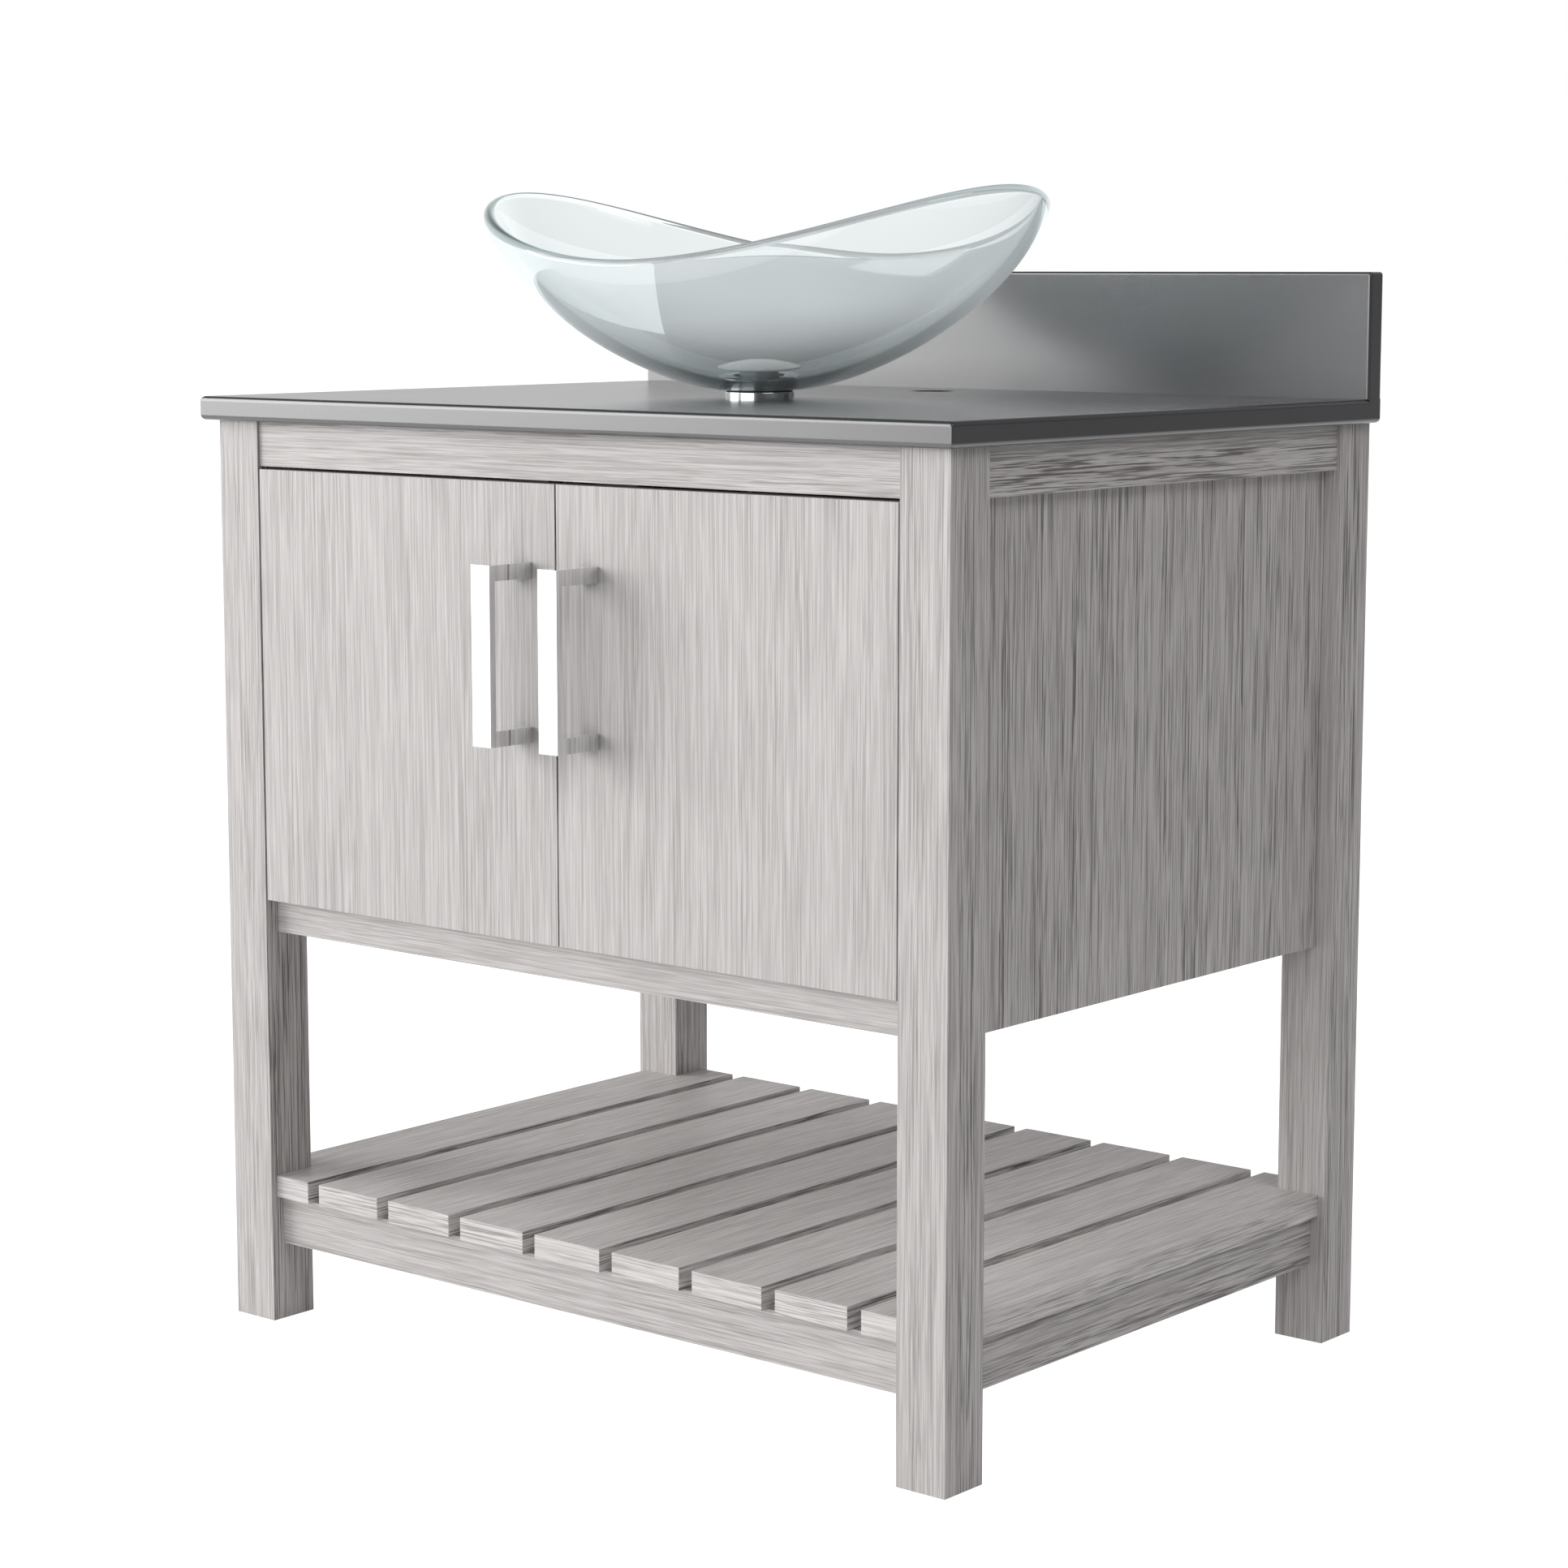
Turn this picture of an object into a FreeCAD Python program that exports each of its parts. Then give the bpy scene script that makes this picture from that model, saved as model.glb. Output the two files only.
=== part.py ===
"""Glass vessel sink on a wooden bathroom vanity with two doors and a slatted shelf.

Millimetres, +Z up, +X to the right of a person facing the doors, +Y towards the wall.
The origin is on the floor, at the centre of the footprint of the whole object.
"""
import FreeCAD, Part
import math
import os

Vec = FreeCAD.Vector
Z_UP = Vec(0, 0, 1)

# ---- driving dimensions --------------------------------------------------------
# stone top and backsplash
TOP_WIDTH = 762.0
TOP_DEPTH = 556.0
TOP_THICK = 19.0
TOP_Z = 760.0
STONE_ROUND = 4.0
STONE_CORNER_ROUND = 1.5
SPLASH_HEIGHT = 99.0
SPLASH_THICK = 19.0
SPLASH_ROUND = 2.5
FAUCET_R = 17.5
FAUCET_ROUND = 2.0

# timber frame
FRAME_WIDTH = 742.0
LEG = 44.0
LEG_BEHIND_TOP_EDGE = 12.0
RAIL_HEIGHT = 36.0
RAIL_RECESS = 2.6
FRONT_RAIL_DEPTH = 36.0
RAIL_THICK = 18.0
LOWER_RECESS = 12.5
PANEL_THICK = 15.0
PANEL_TONGUE = 6.0
CABINET_BOTTOM_Z = 325.0
BOTTOM_RAIL_HEIGHT = 25.5
FLOOR_THICK = 15.0
BACK_THICK = 9.0
BACK_BELOW_TOP = 6.0
PIPE_GAP_HALF_WIDTH = 150.0
PIPE_GAP_LOW_Z = 430.0
PIPE_GAP_HIGH_Z = 640.0

# slatted shelf
SLAT_COUNT = 9
SLAT_PITCH = 81.0
SLAT_WIDTH = 68.0
SLAT_THICK = 18.0
SLAT_RECESS = 6.2
SHELF_TOP_Z = 122.0
STRETCHER_HEIGHT = 40.0

# doors
DOOR_THICK = 18.0
DOOR_RECESS = 0.5
DOOR_BOTTOM_Z = 353.0
DOOR_TOP_Z = 702.6
DOOR_SIDE_GAP = 1.75
DOOR_CENTRE_GAP = 1.7

# handles: a flat bar on two square posts, cut from one thick strip
HANDLE_WIDTH = 19.0
HANDLE_BAR = 6.0
HANDLE_POST = 12.0
HANDLE_REACH = 45.5
HANDLE_X = 34.2
HANDLE_LOW_Z = 507.0
HANDLE_HIGH_Z = 643.5
HANDLE_SCREW_R = 2.0
HANDLE_HEAD_R = 4.0
HANDLE_HEAD_THICK = 2.4
HANDLE_THREAD = 14.0

# invisible hinges: a case in the leg, a case in the door and folding links between them
HINGE_Z = (402.0, 654.0)
CASE_HEIGHT = 46.0
CASE_DEPTH = 12.0
CASE_FRONT = 2.2
CASE_BACK = 16.6
POCKET_FRONT = 3.0
POCKET_BACK = 15.9
POCKET_DEPTH = 5.6
POCKET_HEIGHT = 8.4
PIN_OFFSET = 3.5
PIN_SETBACK = 7.0
PIN_R = 0.8
PIN_CLEARANCE = 0.06
LINK_HALF_WIDTH = 1.5
OUTER_LINK_LOW = 1.8
OUTER_LINK_HIGH = 3.7
INNER_LINK_HALF = 1.5
CASE_SCREW_Z = 15.0
WOOD_SCREW_R = 1.6
WOOD_SCREW_HEAD_R = 3.2
WOOD_SCREW_HEAD = 2.0
WOOD_SCREW_LENGTH = 20.0

# magnetic catches
CATCH_X = 45.0
CATCH_WIDTH = 40.0
CATCH_DEPTH = 16.0
CATCH_HEIGHT = 13.0
STRIKE_WIDTH = 24.0
STRIKE_THICK = 1.0
STRIKE_LOW = 693.0
STRIKE_HIGH = 701.5
CATCH_GAP = 0.4

# fastenings in the timber
DOWEL_R = 4.0
DOWEL_LENGTH = 30.0
BLOCK_LEG = 40.0
BLOCK_THICK = 16.0
TOP_SCREW_LENGTH = 24.0

# basin: a thick glass boat, higher at its two ends
BOWL_Y_FROM_TOP_CENTRE = -30.0
GLASS = 9.5
BOWL_FLAT_R = 34.0
BOWL_HALF_LENGTH = 248.6
BOWL_HALF_WIDTH = 164.0
BOWL_SIDE_Z = 863.8
BOWL_END_Z = 919.1
BOWL_RIM_POWER = 1.9
BOWL_END_ARC = 1.249
BOWL_SIDE_ARC = 1.538
BOWL_SLOPE_SHARE = 0.411
BOWL_SLOPE_POWER = 1.25
BOWL_LOOP_POINTS = 48
BOWL_LEVELS = 9

# drain
RING_R = 27.25
RING_BORE_R = 22.6
RING_HEIGHT = 5.5
GASKET_R = 26.0
GASKET_THICK = 1.5
DRAIN_HOLE_R = 22.5
DRAIN_THREAD_R = 20.5
DRAIN_BORE_R = 16.5
FLANGE_R = 32.5
FLANGE_THICK = 1.4
SHOULDER_R = 22.2
SHOULDER_DEPTH = 15.0
DISH_R = 21.5
DISH_DEPTH = 7.0
DRAIN_LENGTH = 92.0
TAIL_SOCKET = 14.0
TAIL_R = 15.875
TAIL_THREAD_R = 17.0
TAIL_WALL = 1.2
TAIL_BOTTOM_Z = 560.0
CAP_R = 33.0
CAP_EDGE = 1.5
CAP_RISE = 5.6
CAP_LIFT = 6.3
SKIRT_R = 15.5
SKIRT_LENGTH = 15.0
STEM_R = 3.0
STEM_CLEARANCE = 0.05
STEM_LENGTH = 62.0
SEAL_WIRE_R = 1.3
SEAL_DROP = 8.5
CARTRIDGE_TOP_Z = 745.0
CARTRIDGE_HEIGHT = 8.0
CARTRIDGE_RIM = 1.6
CARTRIDGE_HUB_R = 5.5
SPOKE_WIDTH = 3.0
WASHER_R = 32.0
WASHER_THICK = 3.0
NUT_FLATS = 54.0
NUT_HEIGHT = 9.0

# ---- worked-out places ---------------------------------------------------------
HANDLE_PROUD = HANDLE_REACH - LEG_BEHIND_TOP_EDGE - DOOR_RECESS
WALL_Y = (TOP_DEPTH + HANDLE_PROUD) / 2
TOP_FRONT_Y = WALL_Y - TOP_DEPTH
UNDER_TOP_Z = TOP_Z - TOP_THICK
LEG_FRONT_Y = TOP_FRONT_Y + LEG_BEHIND_TOP_EDGE
FRAME_HALF = FRAME_WIDTH / 2
INNER_HALF = FRAME_HALF - LEG
BEHIND_FRONT_LEG = LEG_FRONT_Y + LEG
BEFORE_REAR_LEG = WALL_Y - LEG
DOOR_FRONT_Y = LEG_FRONT_Y + DOOR_RECESS
DOOR_BACK_Y = DOOR_FRONT_Y + DOOR_THICK
RAIL_LOW_Z = UNDER_TOP_Z - RAIL_HEIGHT
CABINET_FLOOR_Z = CABINET_BOTTOM_Z + BOTTOM_RAIL_HEIGHT
SLAT_LOW_Z = SHELF_TOP_Z - SLAT_THICK
STRETCHER_LOW_Z = SLAT_LOW_Z - STRETCHER_HEIGHT
PANEL_OUTER_X = FRAME_HALF - LOWER_RECESS
SIDE_RAIL_OUTER_X = FRAME_HALF - RAIL_RECESS
DRAIN_Y = TOP_FRONT_Y + TOP_DEPTH / 2 + BOWL_Y_FROM_TOP_CENTRE
FAUCET_Y = WALL_Y - SPLASH_THICK - 64.0
BOWL_BASE_Z = TOP_Z + RING_HEIGHT + GASKET_THICK
BOWL_MID_Z = BOWL_BASE_Z + GLASS / 2
BASIN_FLOOR_Z = BOWL_BASE_Z + GLASS
FLANGE_Z = BASIN_FLOOR_Z + FLANGE_THICK
DRAIN_LOW_Z = FLANGE_Z - DRAIN_LENGTH
CAP_UNDER_Z = FLANGE_Z + CAP_LIFT
HINGE_AXIS_X = -INNER_HALF + DOOR_SIDE_GAP / 2


# ---- helpers -------------------------------------------------------------------
def block(x0, x1, y0, y1, z0, z1):
    """A box between two corners."""
    return Part.makeBox(x1 - x0, y1 - y0, z1 - z0, Vec(x0, y0, z0))


def disc(radius, x, y, z0, z1):
    """An upright cylinder."""
    return Part.makeCylinder(radius, z1 - z0, Vec(x, y, z0), Z_UP)


def tube(outer, inner, x, y, z0, z1):
    """An upright ring or tube."""
    return disc(outer, x, y, z0, z1).cut(disc(inner, x, y, z0, z1))


def rod(radius, start, direction, length):
    """A round bar from a point along a direction."""
    return Part.makeCylinder(radius, length, start, direction)


def mirrored(shape):
    """The same shape on the other side of the middle plane X = 0."""
    return shape.mirror(Vec(0, 0, 0), Vec(1, 0, 0))


def moved(shape, x, y, z):
    """A copy of the shape, shifted."""
    copy = shape.copy()
    copy.translate(Vec(x, y, z))
    return copy


def cut_all(shape, tools):
    """The shape with every tool taken out of it."""
    for tool in tools:
        shape = shape.cut(tool)
    return shape


def edges_where(shape, test):
    """The edges whose middle point passes the test."""
    picked = []
    for edge in shape.Edges:
        middle = edge.valueAt((edge.FirstParameter + edge.LastParameter) / 2)
        if test(middle):
            picked.append(edge)
    return picked


def wood_screw(start, direction, length=WOOD_SCREW_LENGTH):
    """A flat-headed screw whose head is flush with the start point."""
    head = rod(WOOD_SCREW_HEAD_R, start, direction, WOOD_SCREW_HEAD)
    return head.fuse(rod(WOOD_SCREW_R, start, direction, length))


# ---- timber frame --------------------------------------------------------------
def leg(side, rear):
    """One square leg from the floor to the underside of the top."""
    x0 = -FRAME_HALF if side < 0 else INNER_HALF
    y0 = BEFORE_REAR_LEG if rear else LEG_FRONT_Y
    return block(x0, x0 + LEG, y0, y0 + LEG, 0, UNDER_TOP_Z)


def cross_rail(y0, y1, z0, z1):
    """A rail running left to right between two legs."""
    return block(-INNER_HALF, INNER_HALF, y0, y1, z0, z1)


def side_rail(side, outer_x, thick, z0, z1):
    """A rail running front to back between two legs."""
    inner_x = outer_x - thick
    rail = block(inner_x, outer_x, BEHIND_FRONT_LEG, BEFORE_REAR_LEG, z0, z1)
    return rail if side > 0 else mirrored(rail)


def side_panel(side):
    """A cabinet side whose long edges run into grooves in the legs."""
    y0 = BEHIND_FRONT_LEG - PANEL_TONGUE
    y1 = BEFORE_REAR_LEG + PANEL_TONGUE
    inner_x = PANEL_OUTER_X - PANEL_THICK
    panel = block(inner_x, PANEL_OUTER_X, y0, y1, CABINET_BOTTOM_Z, RAIL_LOW_Z)
    return panel if side > 0 else mirrored(panel)


def back_panel():
    """The thin cabinet back, with an opening for the water and waste pipes."""
    y1 = WALL_Y - RAIL_RECESS - RAIL_THICK
    y0 = y1 - BACK_THICK
    panel = cross_rail(y0, y1, CABINET_FLOOR_Z, UNDER_TOP_Z - BACK_BELOW_TOP)
    return panel.cut(block(-PIPE_GAP_HALF_WIDTH, PIPE_GAP_HALF_WIDTH, y0, y1,
                           PIPE_GAP_LOW_Z, PIPE_GAP_HIGH_Z))


def frame_parts():
    """Legs, rails, panels and shelf stretchers before any hole is drilled."""
    front_y = LEG_FRONT_Y
    low_front = front_y + LOWER_RECESS
    low_rear = WALL_Y - LOWER_RECESS
    parts = {
        "leg_front_left": leg(-1, False),
        "leg_front_right": leg(1, False),
        "leg_rear_left": leg(-1, True),
        "leg_rear_right": leg(1, True),
        "top_rail_front": cross_rail(front_y + RAIL_RECESS,
                                     front_y + RAIL_RECESS + FRONT_RAIL_DEPTH,
                                     RAIL_LOW_Z, UNDER_TOP_Z),
        "top_rail_rear": cross_rail(WALL_Y - RAIL_RECESS - RAIL_THICK, WALL_Y - RAIL_RECESS,
                                    RAIL_LOW_Z, UNDER_TOP_Z),
        "bottom_rail_front": cross_rail(low_front, BEHIND_FRONT_LEG,
                                        CABINET_BOTTOM_Z, CABINET_FLOOR_Z),
        "bottom_rail_rear": cross_rail(BEFORE_REAR_LEG, low_rear,
                                       CABINET_BOTTOM_Z, CABINET_FLOOR_Z),
        "stretcher_front": cross_rail(low_front, low_front + RAIL_THICK,
                                      STRETCHER_LOW_Z, SLAT_LOW_Z),
        "stretcher_rear": cross_rail(low_rear - RAIL_THICK, low_rear,
                                     STRETCHER_LOW_Z, SLAT_LOW_Z),
    }
    for side, word in ((-1, "left"), (1, "right")):
        parts["top_rail_" + word] = side_rail(side, SIDE_RAIL_OUTER_X, RAIL_THICK,
                                              RAIL_LOW_Z, UNDER_TOP_Z)
        parts["stretcher_" + word] = side_rail(side, PANEL_OUTER_X, RAIL_THICK,
                                               STRETCHER_LOW_Z, SLAT_LOW_Z)
        parts["side_panel_" + word] = side_panel(side)
    panel_inner_x = PANEL_OUTER_X - PANEL_THICK
    parts["cabinet_floor"] = block(-panel_inner_x, panel_inner_x,
                                   BEHIND_FRONT_LEG, BEFORE_REAR_LEG,
                                   CABINET_FLOOR_Z - FLOOR_THICK, CABINET_FLOOR_Z)
    parts["back_panel"] = back_panel()
    return parts


def end_dowels(shape, along_x):
    """Two dowels across each end joint of a rail, half in the rail and half in the leg."""
    box = shape.BoundBox
    middle_z = (box.ZMin + box.ZMax) / 2
    spread = (box.ZMax - box.ZMin) / 4
    dowels = []
    for z in (middle_z - spread, middle_z + spread):
        for end in (0, 1):
            if along_x:
                x = (box.XMin, box.XMax)[end] - DOWEL_LENGTH / 2
                start = Vec(x, (box.YMin + box.YMax) / 2, z)
                dowels.append(rod(DOWEL_R, start, Vec(1, 0, 0), DOWEL_LENGTH))
            else:
                y = (box.YMin, box.YMax)[end] - DOWEL_LENGTH / 2
                start = Vec((box.XMin + box.XMax) / 2, y, z)
                dowels.append(rod(DOWEL_R, start, Vec(0, 1, 0), DOWEL_LENGTH))
    return dowels


def floor_dowels(floor):
    """Dowels that carry the cabinet floor in the two side panels."""
    box = floor.BoundBox
    middle_z = (box.ZMin + box.ZMax) / 2
    in_panel = DOWEL_LENGTH / 3
    dowels = []
    for part in (1, 2, 3):
        y = box.YMin + (box.YMax - box.YMin) * part / 4
        for x, direction in ((box.XMax + in_panel, -1), (box.XMin - in_panel, 1)):
            dowels.append(rod(DOWEL_R, Vec(x, y, middle_z), Vec(direction, 0, 0), DOWEL_LENGTH))
    return dowels


def all_dowels(parts):
    """Every dowel of the frame."""
    dowels = floor_dowels(parts["cabinet_floor"])
    for name, shape in parts.items():
        if name in ("top_rail_left", "top_rail_right", "stretcher_left", "stretcher_right"):
            dowels += end_dowels(shape, False)
        elif "rail" in name or "stretcher" in name:
            dowels += end_dowels(shape, True)
    return dowels


def slat(number, legs):
    """One shelf slat; the two outermost are wider and notched around the legs."""
    centre_x = (number - (SLAT_COUNT + 1) / 2) * SLAT_PITCH
    x0 = centre_x - SLAT_WIDTH / 2
    x1 = centre_x + SLAT_WIDTH / 2
    if number == 1:
        x0 = -FRAME_HALF + SLAT_RECESS
    if number == SLAT_COUNT:
        x1 = FRAME_HALF - SLAT_RECESS
    board = block(x0, x1, LEG_FRONT_Y + SLAT_RECESS, WALL_Y - SLAT_RECESS, SLAT_LOW_Z, SHELF_TOP_Z)
    return cut_all(board, legs) if number in (1, SLAT_COUNT) else board


def corner_block(side, rear):
    """A triangular block under the top in one corner of the frame, with its three screws."""
    inner_x = SIDE_RAIL_OUTER_X - RAIL_THICK
    y0 = WALL_Y - LEG if rear else BEHIND_FRONT_LEG
    into = -1 if rear else 1
    x0 = inner_x
    low = UNDER_TOP_Z - BLOCK_THICK
    corners = [Vec(x0, y0, low), Vec(x0 - BLOCK_LEG, y0, low), Vec(x0, y0 + into * BLOCK_LEG, low)]
    prism = Part.Face(Part.makePolygon(corners + [corners[0]])).extrude(Vec(0, 0, BLOCK_THICK))
    top_screw = wood_screw(Vec(x0 - BLOCK_LEG / 3, y0 + into * BLOCK_LEG / 3, low), Z_UP,
                           TOP_SCREW_LENGTH)
    side_screw = wood_screw(Vec(x0 - BLOCK_LEG / 3, y0 + into * BLOCK_LEG / 2, low + BLOCK_THICK / 2),
                            Vec(1, 0, 0), BLOCK_LEG / 3 + RAIL_THICK / 2)
    prism = cut_all(prism, [top_screw, side_screw])
    pieces = (prism, top_screw, side_screw)
    return pieces if side > 0 else tuple(mirrored(piece) for piece in pieces)


# ---- doors ---------------------------------------------------------------------
def door_blank(side):
    """A plain door panel."""
    panel = block(DOOR_CENTRE_GAP / 2, INNER_HALF - DOOR_SIDE_GAP,
                  DOOR_FRONT_Y, DOOR_BACK_Y, DOOR_BOTTOM_Z, DOOR_TOP_Z)
    return panel if side > 0 else mirrored(panel)


def handle(side):
    """A flat bar with a square post at each end."""
    x0 = side * HANDLE_X - HANDLE_WIDTH / 2
    x1 = side * HANDLE_X + HANDLE_WIDTH / 2
    y0 = DOOR_FRONT_Y - HANDLE_REACH
    solid = block(x0, x1, y0, DOOR_FRONT_Y, HANDLE_LOW_Z, HANDLE_HIGH_Z)
    gap = block(x0, x1, y0 + HANDLE_BAR, DOOR_FRONT_Y,
                HANDLE_LOW_Z + HANDLE_POST, HANDLE_HIGH_Z - HANDLE_POST)
    return solid.cut(gap)


def handle_screws(side):
    """Two machine screws from the back of the door into the handle's posts."""
    screws = []
    back = Vec(0, -1, 0)
    for z in (HANDLE_LOW_Z + HANDLE_POST / 2, HANDLE_HIGH_Z - HANDLE_POST / 2):
        start = Vec(side * HANDLE_X, DOOR_BACK_Y + HANDLE_HEAD_THICK, z)
        head = rod(HANDLE_HEAD_R, start, back, HANDLE_HEAD_THICK)
        shank = rod(HANDLE_SCREW_R, start, back, HANDLE_HEAD_THICK + DOOR_THICK + HANDLE_THREAD)
        screws.append(head.fuse(shank))
    return screws


def strike_plate(side):
    """The thin steel plate behind a door that its catch holds."""
    x = side * CATCH_X
    return block(x - STRIKE_WIDTH / 2, x + STRIKE_WIDTH / 2,
                 DOOR_BACK_Y, DOOR_BACK_Y + STRIKE_THICK, STRIKE_LOW, STRIKE_HIGH)


def magnetic_catch(side):
    """The catch under the top rail that stops and holds a door."""
    x = side * CATCH_X
    y0 = DOOR_BACK_Y + STRIKE_THICK + CATCH_GAP
    return block(x - CATCH_WIDTH / 2, x + CATCH_WIDTH / 2,
                 y0, y0 + CATCH_DEPTH, RAIL_LOW_Z - CATCH_HEIGHT, RAIL_LOW_Z)


def catch_screws(side):
    """Two screws up through a catch into the rail."""
    y = DOOR_BACK_Y + STRIKE_THICK + CATCH_GAP + CATCH_DEPTH / 2
    offset = CATCH_WIDTH / 2 - WOOD_SCREW_HEAD_R * 2
    low = RAIL_LOW_Z - CATCH_HEIGHT
    return [wood_screw(Vec(side * CATCH_X + shift, y, low), Z_UP) for shift in (-offset, offset)]


# ---- invisible hinges (built for the left door, mirrored for the right) ---------
def at_hinge(x, y, z):
    """A point given from the hinge axis on the door's front plane."""
    return Vec(HINGE_AXIS_X + x, DOOR_FRONT_Y + y, z)


def hinge_case(into, z):
    """The case let into the leg (into = -1) or into the door edge (into = 1)."""
    face = into * DOOR_SIDE_GAP / 2
    ends = sorted((face, face + into * CASE_DEPTH))
    low = at_hinge(ends[0], CASE_FRONT, z - CASE_HEIGHT / 2)
    high = at_hinge(ends[1], CASE_BACK, z + CASE_HEIGHT / 2)
    return block(low.x, high.x, low.y, high.y, low.z, high.z)


def hinge_pocket(into, z):
    """The hollow of a case, open at its face, where the links fold away."""
    ends = sorted((0, into * (DOOR_SIDE_GAP / 2 + POCKET_DEPTH)))
    low = at_hinge(ends[0], POCKET_FRONT, z - POCKET_HEIGHT / 2)
    high = at_hinge(ends[1], POCKET_BACK, z + POCKET_HEIGHT / 2)
    return block(low.x, high.x, low.y, high.y, low.z, high.z)


def case_screws(into, z):
    """The two wood screws of a case."""
    screws = []
    for shift in (-CASE_SCREW_Z, CASE_SCREW_Z):
        start = at_hinge(into * DOOR_SIDE_GAP / 2, (CASE_FRONT + CASE_BACK) / 2, z + shift)
        screws.append(wood_screw(start, Vec(into, 0, 0)))
    return screws


def hinge_pin(into, z):
    """The fixed pin across a case's pocket, run a little into both its walls."""
    height = POCKET_HEIGHT + 2 * PIN_R
    return rod(PIN_R, at_hinge(into * PIN_OFFSET, PIN_SETBACK, z - height / 2), Z_UP, height)


def link_bar(into, low, high):
    """A flat bar with round ends, from a case's pin to the shared centre pin."""
    start = at_hinge(into * PIN_OFFSET, PIN_SETBACK, low)
    end = at_hinge(0, 2 * PIN_SETBACK, low)
    along = end - start
    length = along.Length
    bar = block(0, length, -LINK_HALF_WIDTH, LINK_HALF_WIDTH, 0, high - low)
    bar.rotate(Vec(0, 0, 0), Z_UP, math.degrees(math.atan2(along.y, along.x)))
    bar.translate(start)
    for point in (start, end):
        bar = bar.fuse(rod(LINK_HALF_WIDTH, point, Z_UP, high - low))
    return bar.removeSplitter()


def frame_link(z):
    """Two outer bars on the leg's pin, joined by the centre pin."""
    pin_hole = rod(PIN_R + PIN_CLEARANCE, at_hinge(-PIN_OFFSET, PIN_SETBACK, z - OUTER_LINK_HIGH),
                   Z_UP, 2 * OUTER_LINK_HIGH)
    upper = link_bar(-1, z + OUTER_LINK_LOW, z + OUTER_LINK_HIGH)
    lower = link_bar(-1, z - OUTER_LINK_HIGH, z - OUTER_LINK_LOW)
    centre_pin = rod(PIN_R, at_hinge(0, 2 * PIN_SETBACK, z - OUTER_LINK_HIGH), Z_UP,
                     2 * OUTER_LINK_HIGH)
    return upper.fuse(lower).cut(pin_hole).fuse(centre_pin)


def door_link(z):
    """One inner bar between the door's pin and the centre pin."""
    bar = link_bar(1, z - INNER_LINK_HALF, z + INNER_LINK_HALF)
    for x, y in ((PIN_OFFSET, PIN_SETBACK), (0, 2 * PIN_SETBACK)):
        bar = bar.cut(rod(PIN_R + PIN_CLEARANCE, at_hinge(x, y, z - INNER_LINK_HALF), Z_UP,
                          2 * INNER_LINK_HALF))
    return bar


def finished_case(into, z):
    """A case with its pocket, pin and screw holes."""
    case = hinge_case(into, z).cut(hinge_pocket(into, z))
    case = cut_all(case, case_screws(into, z))
    return case.fuse(hinge_pin(into, z))


# ---- stone ---------------------------------------------------------------------
def rounded_slab(blank, level_edges):
    """The slab with these level edges well rounded and its four upright corners eased."""
    slab = blank.makeFillet(STONE_ROUND, level_edges)
    low = UNDER_TOP_Z + STONE_ROUND + 0.5
    high = TOP_Z - STONE_ROUND - 0.5
    return slab.makeFillet(STONE_CORNER_ROUND, edges_where(slab, lambda point: low < point.z < high))


def slab_blank():
    """The slab, rounded above and below but left square where the backsplash stands on it."""
    blank = block(-TOP_WIDTH / 2, TOP_WIDTH / 2, TOP_FRONT_Y, WALL_Y, UNDER_TOP_Z, TOP_Z)
    lower = edges_where(blank, lambda point: point.z < UNDER_TOP_Z + 1)
    upper = edges_where(blank, lambda point: point.z > TOP_Z - 1)
    rounded = rounded_slab(blank, lower + upper)
    square_top = rounded_slab(blank, lower)
    strip = block(-TOP_WIDTH / 2, TOP_WIDTH / 2, WALL_Y - SPLASH_THICK + SPLASH_ROUND, WALL_Y,
                  UNDER_TOP_Z, TOP_Z)
    return rounded.fuse(square_top.common(strip)).removeSplitter()


def countertop():
    """The slab with a faucet hole and a drain hole."""
    slab = slab_blank()
    slab = slab.cut(disc(FAUCET_R, 0, FAUCET_Y, UNDER_TOP_Z - 1, TOP_Z + 1))
    reach = FAUCET_R + FAUCET_ROUND

    def on_faucet_rim(point):
        near = math.hypot(point.x, point.y - FAUCET_Y) < reach
        return near and abs(point.z - TOP_Z) < FAUCET_ROUND / 2

    slab = slab.makeFillet(FAUCET_ROUND, edges_where(slab, on_faucet_rim))
    return slab.cut(disc(DRAIN_HOLE_R, 0, DRAIN_Y, UNDER_TOP_Z - 1, TOP_Z + 1))


def backsplash():
    """The upstand that stands on the slab against the wall."""
    board = block(-TOP_WIDTH / 2, TOP_WIDTH / 2, WALL_Y - SPLASH_THICK, WALL_Y,
                  TOP_Z, TOP_Z + SPLASH_HEIGHT)
    rounded = edges_where(board, lambda point: point.z > TOP_Z + 1)
    return board.makeFillet(SPLASH_ROUND, rounded)


# ---- basin ---------------------------------------------------------------------
def bowl_mid(reach, turn):
    """A point of the glass's middle surface: reach 0 at the flat base, 1 at the rim."""
    endwise = math.cos(turn) ** 2
    rim_z = BOWL_SIDE_Z + (BOWL_END_Z - BOWL_SIDE_Z) * abs(math.cos(turn)) ** BOWL_RIM_POWER
    arc = BOWL_END_ARC * endwise + BOWL_SIDE_ARC * (1 - endwise)
    round_rise = (1 - math.sqrt(1 - (reach * math.sin(arc)) ** 2)) / (1 - math.cos(arc))
    slope_rise = reach ** BOWL_SLOPE_POWER
    rise = BOWL_SLOPE_SHARE * slope_rise + (1 - BOWL_SLOPE_SHARE) * round_rise
    x = (BOWL_FLAT_R + (BOWL_HALF_LENGTH - BOWL_FLAT_R) * reach) * math.cos(turn)
    y = (BOWL_FLAT_R + (BOWL_HALF_WIDTH - BOWL_FLAT_R) * reach) * math.sin(turn)
    return Vec(x, DRAIN_Y + y, BOWL_MID_Z + (rim_z - BOWL_MID_Z) * rise)


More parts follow.
